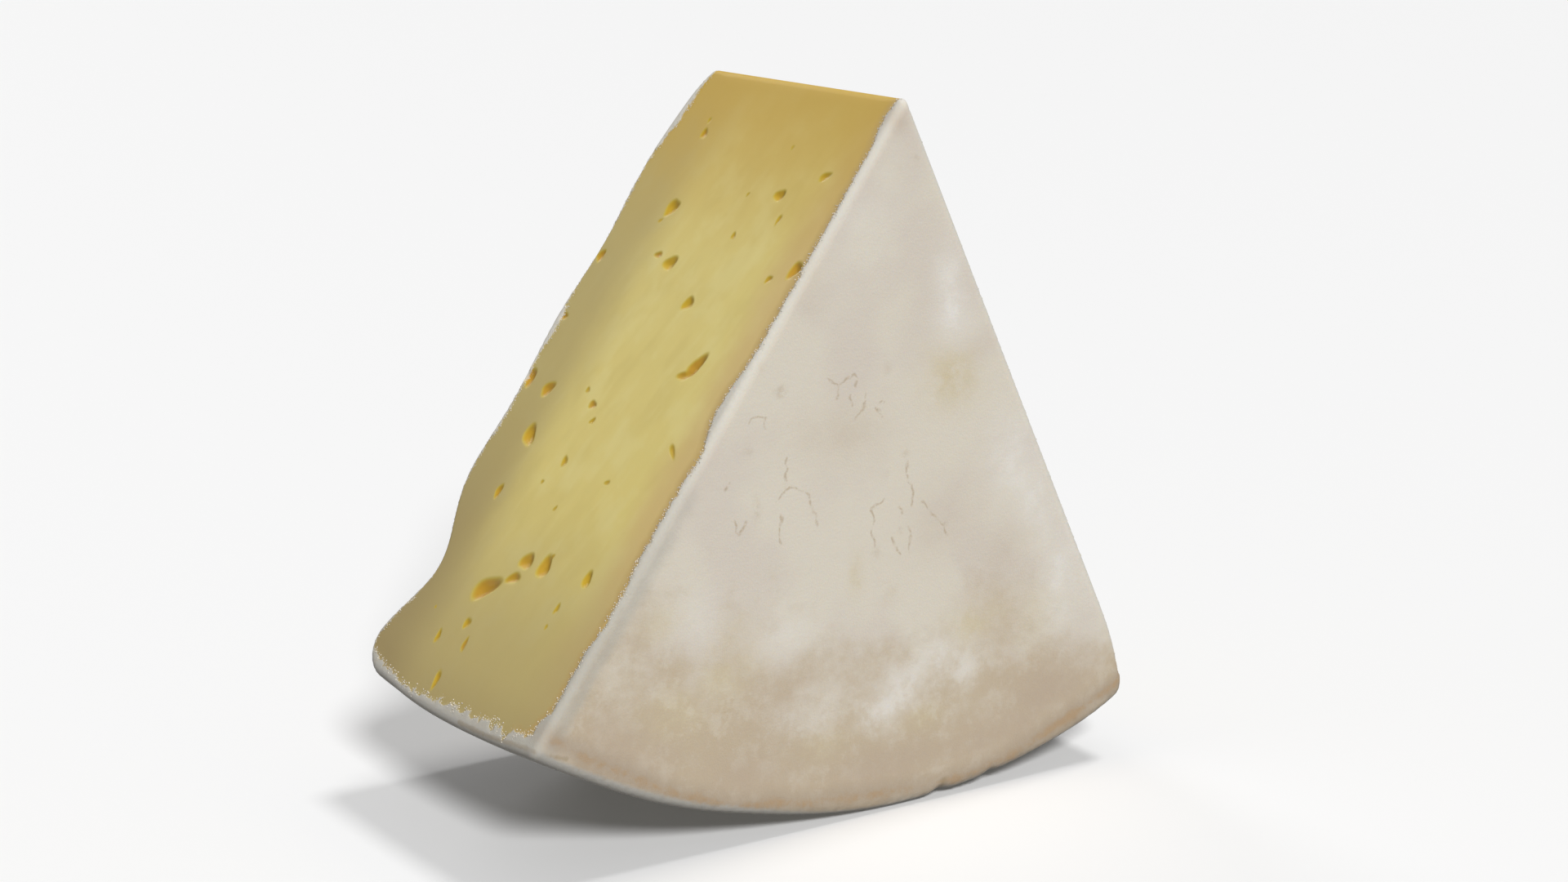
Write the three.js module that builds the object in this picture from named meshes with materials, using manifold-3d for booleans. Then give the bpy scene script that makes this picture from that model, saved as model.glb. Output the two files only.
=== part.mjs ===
// A wedge cut from a round, white-rinded soft cheese. It stands on its curved side, with the tip edge up.
// The paste has small eyes, which open on both cut faces.
import * as THREE from "three";
import { mergeVertices } from "three/addons/utils/BufferGeometryUtils.js";
import Module from "manifold-3d";

const degrees = THREE.MathUtils.degToRad;

// Driving dimensions, in millimetres and radians. Lines of the wheel run along Y, its axis.
// The tip edge is over x = 0 and the floor is at z = 0.
const WALL_RADIUS = 102;
const AXIS_HEIGHT = 100.6;
const TIP_HEIGHT = 101.3;
const NEAR_FACE = -24.3;
const FAR_FACE = 27;
const CUT_LEFT = degrees(35.7);
const CUT_RIGHT = degrees(25.4);

// Roundings of the edges.
const CUT_EDGE = 1.1;
const RIM_NEAR = 3.2;
const RIM_FAR = 6;

// The side bellies across the thickness, flares at the left cut, sags at the right one and has one dent.
const BELLY = 1.5;
const BELLY_AT = 6;
const BELLY_SPAN = 30;
const FLARE = 0.6;
const FLARE_TURN = degrees(4);
const FLARE_FADE = 1.6;
const FLARE_FADE_SPAN = 15;
const SAG = 0.5;
const SAG_TURN = degrees(3);
const DENT = 0.5;
const DENT_AT = degrees(-13);
const DENT_TURN = degrees(8);

// The far face drops at the tip, is pinched in above the lower left corner, and has soft waves
// that fade from the left cut into broad lumps. The push fades out towards the middle of the thickness.
const TIP_DROP = 4.2;
const TIP_DROP_REACH = 4.5;
const WAVE = 0.45;
const WAVE_LENGTH = 27;
const WAVE_CREST = 17;
const WAVE_START = 10;
const WAVE_TURN = degrees(17);
const LUMP = 0.3;
const LUMP_LENGTH = 41;
const PINCH = 5.1;
const PINCH_AT = 84.3;
const PINCH_SPAN = 9;
const PINCH_TURN = degrees(13);
const PUSH_FROM = 2;

// Facets along the turn, the thickness and the radius, crowded towards the edges.
const TURN_STEPS = 18;
const THICKNESS_STEPS = 14;
const RADIUS_STEPS = 30;
const CROWDING = 0.55;
const EYE_SIDES = 12;
const EYE_RINGS = 8;

// Rays from this point inside the wedge meet its surface once.
const HEART = new THREE.Vector3(-4, 1, 42);
const RAY_START = 0.3;
const RAY_END = 1.35;
const HALVINGS = 26;

// Eyes on the left cut: distance from the tip edge, place across the thickness, half length,
// half width, and the turn of the long axis from the radial direction in degrees.
const LEFT_EYES = [
  [11, 16.5, 1.1, 0.8, 0],
  [14, -16.8, 1.4, 0.8, 49],
  [18, -9.2, 1.2, 1.1, 60],
  [21.5, -12, 0.9, 0.6, 12],
  [23.3, 14, 2, 1.2, 38],
  [28, -21.5, 1.5, 1.2, 14],
  [30.7, 10.8, 1, 0.7, -83],
  [31.5, 7, 1.7, 1.2, 90],
  [33, 24.7, 1.4, 0.9, 20],
  [36.5, -2.4, 1.4, 1.1, 16],
  [43.5, 25.3, 1.1, 0.8, 55],
  [44.8, -12, 2.1, 1.4, 27],
  [46.5, -10.7, 1.7, 0.9, 75],
  [53.7, 24.9, 1.7, 1.4, 5],
  [54.5, 18.9, 1.9, 1.1, 58],
  [54.6, 6.2, 1, 0.8, 67],
  [57, -17.3, 1.5, 0.6, -50],
  [61.8, 17, 1.9, 1.6, -11],
  [63.6, 5.2, 1.1, 0.7, -3],
  [64.2, -7.3, 0.9, 0.7, 64],
  [71, 16.7, 1.2, 0.9, 5],
  [77.5, -14.6, 1.3, 1.1, 12],
  [78.3, -3.8, 1.8, 1.6, 48],
  [78.5, 0.8, 1.7, 1.4, 35],
  [81.4, 1.7, 1.7, 1, 59],
  [84.3, 6.8, 3, 1.9, 55],
  [89.8, 6.4, 1.1, 0.8, 2],
  [92.6, 4.2, 1.3, 0.6, -13],
  [93.2, 11.4, 1.1, 0.7, -7],
  [98.6, 6, 1.5, 0.8, -2],
];

// Eyes on the right cut are scattered by a seeded rule: one in each patch of a coarse grid.
const RIGHT_EYE_SEED = 7;
const RIGHT_EYE_ROWS = 9;
const RIGHT_EYE_COLUMNS = 3;
const RIGHT_EYE_FROM = 12;
const RIGHT_EYE_TO = 97;
const RIGHT_EYE_REACH = 19;
const RIGHT_EYE_SMALLEST = 0.7;
const RIGHT_EYE_SPREAD = 1.6;
const RIGHT_EYE_LEANEST = 0.55;
const EYE_DEPTH = 0.95;

const RIND_WHITE = 0xd8d4c8;

function bump(s) {
  return Math.exp(-s * s);
}

// The crossing of two half-spaces with its edge rounded; a and b are distances, positive outside.
function rounded(a, b, radius) {
  const p = a + radius;
  const q = b + radius;
  const inside = Math.min(Math.max(p, q), 0);
  return inside + Math.hypot(Math.max(p, 0), Math.max(q, 0)) - radius;
}

function wallRadius(turn, y) {
  const belly = BELLY * ((y - BELLY_AT) / BELLY_SPAN) ** 2;
  const flareFade = 1 - FLARE_FADE * bump((y - FAR_FACE) / FLARE_FADE_SPAN);
  const flare = FLARE * bump((turn + CUT_LEFT) / FLARE_TURN) * flareFade;
  const sag = SAG * bump((turn - CUT_RIGHT) / SAG_TURN);
  const dent = DENT * bump((turn - DENT_AT) / DENT_TURN);
  return WALL_RADIUS - belly + flare - sag - dent;
}

// How far the far face lies beyond a plain flat one.
function farRelief(x, z) {
  const along = Math.hypot(x, TIP_HEIGHT - z);
  const fromLeft = Math.atan2(x, TIP_HEIGHT - z) + CUT_LEFT;
  const grown = 1 - bump(along / WAVE_START);
  const nearCut = bump(fromLeft / WAVE_TURN);
  const wave = WAVE * Math.cos((2 * Math.PI * (along - WAVE_CREST)) / WAVE_LENGTH);
  const sweep = (2 * Math.PI) / LUMP_LENGTH;
  const lump = LUMP * (Math.sin(sweep * (x + 0.4 * z)) + Math.sin(sweep * (1.3 * z - 0.8 * x)));
  const drop = TIP_DROP * Math.exp(-along / TIP_DROP_REACH);
  const pinch = PINCH * bump((along - PINCH_AT) / PINCH_SPAN) * bump(fromLeft / PINCH_TURN);
  return (wave * nearCut + lump * (1 - nearCut)) * grown - drop - pinch;
}

// Pushes a point of the plain wedge with the far face's relief.
function withFarRelief(point) {
  const share = THREE.MathUtils.smoothstep(point.y, PUSH_FROM, FAR_FACE);
  point.y += farRelief(point.x, point.z) * share;
  return point;
}

// Distance of a point from the plain wedge's surface, positive outside.
function outside(point) {
  const below = AXIS_HEIGHT - point.z;
  const turn = Math.atan2(point.x, below);
  const wall = Math.hypot(point.x, below) - wallRadius(turn, point.y);
  const wheel = Math.max(
    rounded(wall, NEAR_FACE - point.y, RIM_NEAR),
    rounded(wall, point.y - FAR_FACE, RIM_FAR),
  );
  const drop = TIP_HEIGHT - point.z;
  const left = -point.x * Math.cos(CUT_LEFT) - drop * Math.sin(CUT_LEFT);
  const right = point.x * Math.cos(CUT_RIGHT) - drop * Math.sin(CUT_RIGHT);
  const sides = [wheel, left, right].map((side) => side + CUT_EDGE);
  const within = Math.min(Math.max(...sides), 0);
  return within + Math.hypot(...sides.map((side) => Math.max(side, 0))) - CUT_EDGE;
}

// Moves a point along its ray from the heart onto the surface.
function ontoSurface(point) {
  const ray = point.clone().sub(HEART);
  const probe = new THREE.Vector3();
  let near = RAY_START;
  let far = RAY_END;
  for (let i = 0; i < HALVINGS; i += 1) {
    const middle = (near + far) / 2;
    probe.copy(HEART).addScaledVector(ray, middle);
    if (outside(probe) > 0) far = middle;
    else near = middle;
  }
  return probe.copy(HEART).addScaledVector(ray, (near + far) / 2);
}

// Crowds a share between 0 and 1 towards both of its ends.
function crowded(share) {
  return share - (CROWDING * Math.sin(2 * Math.PI * share)) / (2 * Math.PI);
}

// A closed mesh with shared vertices, without the triangles that shrank to a line.
function closedSolid(wasm, geometry) {
  const bare = geometry.clone();
  bare.deleteAttribute("normal");
  bare.deleteAttribute("uv");
  const merged = mergeVertices(bare, 1e-4);
  const corners = merged.index.array;
  const kept = [];
  for (let i = 0; i < corners.length; i += 3) {
    const [a, b, c] = corners.slice(i, i + 3);
    if (a !== b && b !== c && c !== a) kept.push(a, b, c);
  }
  return new wasm.Manifold(
    new wasm.Mesh({
      numProp: 3,
      vertProperties: merged.attributes.position.array,
      triVerts: new Uint32Array(kept),
    }),
  );
}

function geometryOf(solid) {
  const mesh = solid.getMesh();
  const geometry = new THREE.BufferGeometry();
  geometry.setAttribute("position", new THREE.BufferAttribute(mesh.vertProperties, 3));
  geometry.setIndex(new THREE.BufferAttribute(mesh.triVerts, 1));
  return geometry;
}

// A box bent to the sharp sector, whose points are then moved onto the rounded surface.
function wedgeGeometry() {
  const box = new THREE.BoxGeometry(1, 1, 1, TURN_STEPS, THICKNESS_STEPS, RADIUS_STEPS);
  const place = box.attributes.position;
  for (let i = 0; i < place.count; i += 1) {
    const turnShare = crowded(place.getX(i) + 0.5);
    const thickShare = crowded(place.getY(i) + 0.5);
    const outwards = crowded(0.5 - place.getZ(i));
    const turn = -CUT_LEFT + turnShare * (CUT_LEFT + CUT_RIGHT);
    const radius = outwards * WALL_RADIUS;
    const corner = new THREE.Vector3(
      radius * Math.sin(turn),
      NEAR_FACE + thickShare * (FAR_FACE - NEAR_FACE),
      TIP_HEIGHT - radius * Math.cos(turn),
    );
    const point = withFarRelief(ontoSurface(corner));
    place.setXYZ(i, point.x, point.y, point.z);
  }
  return box;
}

// An egg-shaped hollow, half of it outside the cut face that it opens on. The face's frame has X
// radial, Y across the thickness and Z square to the face.
function eyeGeometry(faceFrame, along, across, halfLong, halfWide, turnDegrees) {
  const eye = new THREE.SphereGeometry(1, EYE_SIDES, EYE_RINGS);
  eye.scale(halfLong, halfWide, halfWide * EYE_DEPTH);
  eye.rotateZ(degrees(turnDegrees));
  eye.translate(along, across, 0);
  return eye.applyMatrix4(faceFrame);
}

// A block below the floor. The lowest part of the round side, cut off by it, is the flat foot.
function belowFloor() {
  const size = 2 * WALL_RADIUS;
  return new THREE.BoxGeometry(size, size, size).translate(0, 0, -size / 2);
}

function cutFaceFrame(turn) {
  const radial = new THREE.Vector3(Math.sin(turn), 0, -Math.cos(turn));
  const across = new THREE.Vector3(0, 1, 0);
  const square = radial.clone().cross(across);
  return new THREE.Matrix4().makeBasis(radial, across, square).setPosition(0, 0, TIP_HEIGHT);
}

// A small repeatable source of numbers from 0 to 1.
function seededRandom(seed) {
  let state = seed;
  return () => {
    state = (state * 16807) % 2147483647;
    return state / 2147483647;
  };
}

function rightEyes() {
  const random = seededRandom(RIGHT_EYE_SEED);
  const rows = [];
  const rowHeight = (RIGHT_EYE_TO - RIGHT_EYE_FROM) / RIGHT_EYE_ROWS;
  const columnWidth = (2 * RIGHT_EYE_REACH) / RIGHT_EYE_COLUMNS;
  for (let row = 0; row < RIGHT_EYE_ROWS; row += 1) {
    for (let column = 0; column < RIGHT_EYE_COLUMNS; column += 1) {
      const along = RIGHT_EYE_FROM + (row + random()) * rowHeight;
      const across = -RIGHT_EYE_REACH + (column + random()) * columnWidth;
      const halfLong = RIGHT_EYE_SMALLEST + RIGHT_EYE_SPREAD * random() ** 2;
      const leanness = RIGHT_EYE_LEANEST + (1 - RIGHT_EYE_LEANEST) * random();
      rows.push([along, across, halfLong, halfLong * leanness, 70 * random()]);
    }
  }
  return rows;
}

function cheeseGeometry(wasm) {
  const leftFrame = cutFaceFrame(-CUT_LEFT);
  const rightFrame = cutFaceFrame(CUT_RIGHT);
  let solid = closedSolid(wasm, wedgeGeometry()).subtract(closedSolid(wasm, belowFloor()));
  for (const row of LEFT_EYES) {
    solid = solid.subtract(closedSolid(wasm, eyeGeometry(leftFrame, ...row)));
  }
  for (const row of rightEyes()) {
    solid = solid.subtract(closedSolid(wasm, eyeGeometry(rightFrame, ...row)));
  }
  return geometryOf(solid);
}

const wasm = await Module();
wasm.setup();

const cheese = new THREE.Mesh(
  cheeseGeometry(wasm),
  new THREE.MeshStandardMaterial({ color: RIND_WHITE, roughness: 0.75, metalness: 0 }),
);
cheese.name = "cheese_wedge";

// The part's own frame has its origin under the middle of the wedge.
cheese.geometry.computeBoundingBox();
const middle = cheese.geometry.boundingBox.getCenter(new THREE.Vector3());
cheese.position.set(-middle.x, -middle.y, 0);

const group = new THREE.Group();
group.add(cheese);

export default group;
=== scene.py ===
# A wedge cut from a round, white-rinded soft cheese. It stands on its curved side, with the tip edge up.
import math

import bpy
import numpy as np
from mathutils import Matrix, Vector, noise


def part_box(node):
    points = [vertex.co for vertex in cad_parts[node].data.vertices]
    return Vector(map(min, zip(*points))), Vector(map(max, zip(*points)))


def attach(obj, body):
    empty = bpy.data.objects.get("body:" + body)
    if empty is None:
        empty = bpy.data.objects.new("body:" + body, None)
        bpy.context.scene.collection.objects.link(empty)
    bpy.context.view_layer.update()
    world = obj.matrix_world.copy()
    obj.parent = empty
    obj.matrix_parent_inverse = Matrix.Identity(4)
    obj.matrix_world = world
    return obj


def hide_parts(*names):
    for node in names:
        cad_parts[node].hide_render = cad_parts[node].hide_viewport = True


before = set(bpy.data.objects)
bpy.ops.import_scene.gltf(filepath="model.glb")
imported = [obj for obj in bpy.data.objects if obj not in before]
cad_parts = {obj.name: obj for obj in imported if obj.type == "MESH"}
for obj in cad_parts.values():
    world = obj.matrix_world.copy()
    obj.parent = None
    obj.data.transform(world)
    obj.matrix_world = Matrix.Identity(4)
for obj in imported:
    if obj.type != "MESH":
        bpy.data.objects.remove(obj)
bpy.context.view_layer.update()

# The wheel's own frame, in millimetres and radians: Y is the wheel's axis, the tip edge is over
# x = 0 and the floor is at z = 0.
MM = 0.001
WALL_RADIUS = 102
AXIS_HEIGHT = 100.6
TIP_HEIGHT = 101.3
NEAR_FACE = -24.3
FAR_FACE = 27
CUT_LEFT = math.radians(35.7)
CUT_RIGHT = math.radians(25.4)

# How round the edges are: along the cuts, where the right cut meets the side, and at the two rims.
CUT_EDGE = 1.1
CORNER_EDGE, CORNER_REACH = 2.9, 7
RIM_NEAR = 1.5
RIM_FAR = 6

# The side bellies across the thickness, flares at the left cut, sags at the right one and has one dent.
BELLY, BELLY_AT, BELLY_SPAN = 1.5, 6, 30
FLARE, FLARE_TURN = 0.6, math.radians(4)
FLARE_FADE, FLARE_FADE_SPAN = 1.6, 15
SAG, SAG_TURN = 0.5, math.radians(3)
DENT, DENT_AT, DENT_TURN = 0.5, math.radians(-13), math.radians(8)

# The far face drops at the tip, is pinched in above the lower left corner, and has soft waves.
TIP_DROP, TIP_DROP_REACH = 4.2, 4.5
WAVE, WAVE_LENGTH, WAVE_CREST = 0.45, 27, 17
WAVE_START, WAVE_TURN = 10, math.radians(17)
LUMP, LUMP_LENGTH = 0.3, 41
LUMP_RUNS = ((1, 0.4), (-0.8, 1.3))
PINCH, PINCH_AT, PINCH_SPAN, PINCH_TURN = 5.1, 84.3, 9, math.radians(13)

# The far face's relief fades out through the thickness, down to this place across.
PUSH_FROM = 2

# Rays from the heart, a point inside the wedge, meet its surface once.
HEART = np.array([-4.0, 1.0, 42.0])
RAY_START, RAY_END, HALVINGS = 0.3, 2.2, 26

# Longest mesh edges in millimetres, and how fast they may grow away from fine detail. Round an eye,
# they are that short out to a reach of half widths.
PLAIN_EDGE = 1.9
PASTE_EDGE = 1.3
RIM_EDGE = 1.3
RIND_STRIP = 3
RIND_STRIP_EDGE = 0.6
EYE_EDGE, EYE_EDGE_REACH = 0.34, 1.1
VEIN_EDGE = 0.3
NOTCH_EDGE = 0.4
EDGE_GROWTH = 0.45

# Eyes on the left cut: distance from the tip edge, place across the thickness, half length, half
# width, turn of the long axis from the radial direction in degrees, and tint from yellow 0 to orange 1.
LEFT_EYES = [
    (8.8, 17, 0.6, 0.5, 39, 0.2),
    (11, 16.5, 1.1, 0.8, 0, 0.6),
    (10.6, -6.1, 0.6, 0.4, 0, 0.1),
    (14, -16.8, 1.4, 0.8, 49, 0.15),
    (18, -9.2, 1.2, 1.1, 60, 0.25),
    (21.5, -12, 0.9, 0.6, 12, 0.15),
    (18.8, -2, 0.5, 0.4, 51, 0.1),
    (25.3, -4, 0.7, 0.6, 27, 0.1),
    (23.3, 14, 2, 1.2, 38, 0.15),
    (25.6, 15, 0.7, 0.4, 48, 0.2),
    (28, -21.5, 1.5, 1.2, 14, 0.7),
    (30.2, -17.1, 0.8, 0.7, 53, 0.25),
    (30.7, 10.8, 1, 0.7, -83, 0.8),
    (31.5, 7, 1.7, 1.2, 90, 0.1),
    (33, 24.7, 1.4, 0.9, 20, 0.6),
    (36.5, -2.4, 1.4, 1.1, 16, 0.05),
    (43.5, 25.3, 1.1, 0.8, 55, 0.6),
    (44.8, -12, 2.1, 1.4, 27, 0.9),
    (46.5, -10.7, 1.7, 0.9, 75, 0.6),
    (53.7, 24.9, 1.7, 1.4, 5, 0.8),
    (54.5, 18.9, 1.9, 1.1, 58, 0.7),
    (52.8, 9.2, 0.7, 0.5, -84, 0),
    (54.6, 6.2, 1, 0.8, 67, 0.7),
    (56.8, 4.1, 0.7, 0.6, 37, 0.05),
    (57, -17.3, 1.5, 0.6, -50, 0.1),
    (61.8, 17, 1.9, 1.6, -11, 0.35),
    (63.6, 5.2, 1.1, 0.7, -3, 0.1),
    (67.4, 7.6, 0.5, 0.4, 24, 0.1),
    (70.2, 1.2, 0.6, 0.4, 13, 0.2),
    (64.2, -7.1, 0.7, 0.5, 64, 0.1),
    (71, 16.7, 1.2, 0.9, 5, 0.5),
    (77.5, -14.6, 1.3, 1.1, 12, 0),
    (78.3, -3.8, 1.8, 1.6, 48, 0.45),
    (76.5, -4.4, 0.7, 0.4, 22, 0.5),
    (78.5, 0.8, 1.7, 1.4, 35, 0.5),
    (81.4, 1.7, 1.7, 1, 59, 0.5),
    (84.3, 6.8, 3, 1.9, 55, 0.75),
    (82.7, -11.7, 0.9, 0.6, 17, 0),
    (85.5, -11.6, 0.5, 0.4, 30, 0),
    (89.7, 15.9, 0.4, 0.3, -12, 0.2),
    (89.8, 6.4, 1.1, 0.8, 2, 0.1),
    (92.6, 4.2, 1.3, 0.6, -13, 0.8),
    (93.2, 11.4, 1.1, 0.7, -7, 0.15),
    (98.6, 6, 1.5, 0.8, -2, 0.15),
]

# Eyes on the right cut are scattered by a seeded rule: one in each patch of a coarse grid.
RIGHT_EYE_SEED = 7
RIGHT_EYE_ROWS, RIGHT_EYE_COLUMNS = 9, 3
RIGHT_EYE_FROM, RIGHT_EYE_TO, RIGHT_EYE_REACH = 12, 97, 19
RIGHT_EYE_SMALLEST, RIGHT_EYE_SPREAD, RIGHT_EYE_LEANEST = 0.7, 1.6, 0.55
RIGHT_EYE_TURN = 70
# Each number drawn is the last one times the factor, as a remainder of the range.
DRAW_FACTOR, DRAW_RANGE = 16807, 2147483647

# An eye's depth in half widths, the half width from which it is that deep, how much deeper it is on
# the side towards the tip, the power that sets how soft its rim is, and how uneven its outline is.
EYE_DEPTH = 0.36
EYE_FULL = 1.2
EYE_SLANT = 0.2
EYE_WALL = 1.7
EYE_WOBBLE_TWO, EYE_WOBBLE_THREE, EYE_WOBBLE_SHIFT = 0.14, 0.1, 2.3
# Bands in which an eye fades in: millimetres from the cut's plane, and half widths from its middle.
# The colour of the smallest eyes is weaker, down to this share.
EYE_PLANE_BAND = (0.9, 0.25)
EYE_RIM_BAND = (1.3, 0.35)
EYE_FAINTEST = 0.5

# Rind thickness on the cuts beside the near face, the far face and the side, in millimetres, and how
# much the ragged edge wanders and how deep its teeth are at each.
RIND_THICK = (1.1, 0.9, 2.2)
RIND_WANDER = (0.15, 0.5, 0.45)
RIND_TEETH = (0.25, 0.4, 1.1)
# How long the wandering's waves and the teeth are. Finer teeth lie over them, this many times smaller
# and this share as deep. A tooth stands out by its peak and falls back on both sides.
WANDER_SIZE, TEETH_SIZE = 11, 2.7
TEETH_FINER, TEETH_FINE_SHARE = 2.4, 0.5
TEETH_PEAK, TEETH_FALL = 0.5, 2.2
# How soon the rind's thickness turns from one side's to the next one's, in millimetres.
RIND_TURNOVER = 1.5
# Where the rind on the left cut is thicker or thinner: distance from the tip edge, or place across
# the thickness for the side, then extra and span. They end this far below the cut.
NEAR_SWELLS = [(4.5, 0.8, 3), (49, 1.2, 5), (56, -0.7, 2.5), (79, -0.5, 5), (89, 0.4, 4), (99, 2.4, 3)]
FAR_SWELLS = [(8, 1, 6), (33, -1.1, 5), (45, 0.9, 4), (62, 0.5, 5), (81, -1.2, 6)]
SIDE_SWELLS = [(13, -1.1, 6)]
LEFT_CUT_DEPTH = 2
# The rind stands this proud of the paste, and rises over this band of its edge.
RIND_STEP, RIND_STEP_BAND = 0.1, (-0.15, 0.35)
# A place counts as on a cut within this band of millimetres from the cut's plane.
ON_CUT_BAND = (1.2, 0.6)

# Fine veins on the near face, as (x, z) paths.
VEINS = [
    [(-12.7, 63.6), (-11, 62.3), (-9.8, 63.3), (-8.5, 64), (-8, 61.9)],
    [(-11, 62.3), (-11.2, 60.8)],
    [(-9.1, 61.2), (-8.7, 59.4)],
    [(-6.7, 60.7), (-6.3, 60.1), (-6.9, 58.8), (-7.8, 57.8)],
    [(-4.6, 58.6), (-3.4, 57.3)],
    [(-4.1, 59.4), (-3.4, 59.2)],
    [(-25.5, 59.1), (-25, 59.7), (-24.1, 60.1), (-23, 59.4), (-22.9, 58.5)],
    [(-21, 47.9), (-19.7, 49.2), (-18.1, 49.2), (-16.3, 48.5), (-15.5, 47.1), (-14.7, 44.8), (-14.5, 43.4)],
    [(-19.5, 53.5), (-19.6, 49.6)],
    [(-20.2, 45.6), (-20.6, 43.7), (-20.5, 41.7)],
    [(-27.9, 46), (-27, 43.7), (-26, 45.8)],
    [(-3.4, 45.4), (-5.3, 44.7), (-5.1, 42.5), (-4.9, 38.9)],
    [(0.5, 50.8), (0.8, 48.6), (1.8, 46), (1.4, 44.2)],
    [(-0.5, 44.1), (0.1, 43.1)],
    [(1.2, 41.1), (1.3, 37.5)],
    [(-1.8, 39.9), (-0.4, 37.3)],
    [(-29.7, 50.4), (-28.6, 51.5)],
    [(3.6, 44.1), (5.2, 42.3), (7.3, 40.4), (7.6, 38.7)],
]
VEIN_HALF_WIDTH = 0.16
VEIN_WANDER, VEIN_WANDER_SIZE = 0.55, 1.1

# The uneven ochre line just inside the near rim, as an (x, z) path, and the crease where the left
# cut meets the side, as an (x, y, z) path.
OCHRE_LINE = [
    (-56, 20.3), (-53.6, 18.9), (-48.4, 15.7), (-43.5, 12.9), (-36.3, 8.7), (-28.7, 6), (-16.4, 3.8),
    (-8.6, 3), (-1.5, 2.5), (5.8, 1.9), (11.7, 2.3), (19.1, 3.3), (28.2, 6.6), (34.4, 9), (43, 12.5),
]
CREASE = [
    (-59.6, -4.4, 18.3), (-59.4, -11.2, 18.4), (-59.2, -15.8, 18.8), (-58.9, -21.4, 19.4),
    (-58.5, -23.6, 19.3), (-56.2, -24.1, 18.4), (-54.2, -24.3, 17.7),
]

# Notches in the near rim: turn in degrees, half width, depth, height of the dark fold above it.
NOTCHES = [(4.3, 1.5, 0.7, 3.4), (9.6, 1.2, 0.45, 1.5)]
NOTCH_HEIGHT, NOTCH_REACH = 2.6, 3
# The fold's path above a notch: how far aside, in millimetres, and the share of its height.
FOLD_PATH = [(0, 0), (-0.1, 0.5), (0.2, 1)]

# Patches on the near face: x, z, half width, half height, strength.
SPOTS = [
    (-20.4, 62.7, 0.6, 0.7, 0.9),
    (-25.5, 55.4, 0.5, 0.4, 0.6),
    (-24.3, 47, 0.5, 1.5, 0.6),
    (-0.3, 40.7, 0.35, 0.35, 0.9),
    (-3.1, 48.9, 0.3, 0.45, 0.8),
    (0.4, 51.6, 0.6, 0.7, 0.4),
    (-23.5, 66.6, 0.4, 0.5, 0.5),
    (-4.5, 38, 1, 0.9, 0.4),
    (7.4, 40.5, 0.35, 0.35, 0.9),
    (1.7, 92.4, 0.5, 0.8, 0.4),
    (-1, 91, 0.6, 0.5, 0.4),
    (-16.1, 74.1, 0.4, 0.4, 0.5),
    (-2.8, 63.8, 0.4, 0.4, 0.4),
]
WHITE_PATCHES = [
    (7.6, 74.5, 2.6, 6, 0.9),
    (9.5, 69.5, 3, 3.5, 0.7),
    (19.5, 48.5, 4, 6.5, 0.9),
    (23.5, 42, 3, 6, 0.8),
    (28, 30, 3, 8, 0.6),
    (33, 32, 7, 11, 0.5),
    (0.2, 17.7, 4.2, 3.6, 0.75),
    (-4, 14.5, 3.4, 2.4, 0.6),
    (6.5, 21.8, 3.6, 2.8, 0.7),
    (11.4, 18.4, 3, 2.6, 0.7),
    (-20.3, 29, 5, 4, 0.5),
    (-34.6, 32.7, 5, 4, 0.5),
    (-16.5, 16.8, 5, 3, 0.6),
    (-57, 25, 2.2, 3, 0.7),
    (-8, 84, 7, 6, 0.3),
]
PINK_PATCHES = [
    (-10.3, 55.4, 8, 4, 0.35),
    (-15.6, 76.7, 2.4, 5, 0.2),
    (6.7, 40.8, 7, 6, 0.25),
    (-1.2, 98, 1.6, 2, 0.5),
    (19, 34, 5, 6, 0.3),
    (27, 12.5, 9, 5.5, 1),
    (16, 7, 9, 4, 0.9),
    (-2.8, 6.5, 11, 4, 0.9),
    (-24, 9.5, 10, 4.5, 0.9),
    (-45, 15, 8, 5, 1),
    (-56.4, 20.5, 1.5, 1, 1),
    (-48, 21, 5, 4, 0.7),
    (-45, 35, 5, 6, 0.4),
    (-20, 20, 8, 5, 0.4),
]
OLIVE_PATCHES = [
    (8.4, 61.8, 4.6, 4.2, 0.9),
    (-39, 20.3, 6, 3.6, 1),
    (-29, 24.8, 5, 3.4, 0.9),
    (-39.5, 33.5, 3.6, 2.6, 0.8),
    (-15, 11.3, 5, 2.2, 0.9),
    (-7.7, 35.2, 1.2, 3, 0.8),
    (12.7, 25.5, 4.4, 3.6, 0.9),
    (3.5, 12.5, 3.6, 1.8, 0.9),
    (-26.8, 30.8, 4, 2.2, 0.6),
    (24.2, 25.5, 5, 3.4, 0.5),
]

# Where the tan bloom is thin: x, z, half width, half height, strength.
CLEAR_PATCHES = [
    (35, 30, 9, 13, 0.9),
]

# Crumbs of rind on its ragged edge: how many on a square metre, how small and large they are in
# metres, and where they lie, as millimetres inside the rind and the strip's half width.
CRUMB_DENSITY, CRUMB_SEED = 9e6, 4
CRUMB_SMALLEST, CRUMB_LARGEST = 0.04 * MM, 0.12 * MM
CRUMB_MIDDLE, CRUMB_STRIP = -0.08, 0.38

# The tan bloom grows between these distances from the wheel's axis, and ends at the side.
TAN_BAND = (56, 98)
TAN_WALL_BAND = (0.5, -1.2)

# Painted shade on the rind beside the left cut, lower down: millimetres from the cut, and from the tip
# edge, between which it grows.
SHADE_CUT_BAND = (4.5, 1)
SHADE_TIP_BAND = (45, 85)

# Painted shade on the side's rind: it reaches this far in from the side, in millimetres, and further in
# towards the left cut, from one place across to another.
SIDE_REACH = 2.5
SIDE_GROWTH, SIDE_GROWTH_BAND = 0.8, (12, 30)

# Distances that the materials read stop at these, in millimetres. Away from the cuts, a place counts
# as this much further inside the rind.
WIDE_FIELD, SLIM_FIELD = 8, 4
OFF_CUT = 3


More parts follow.
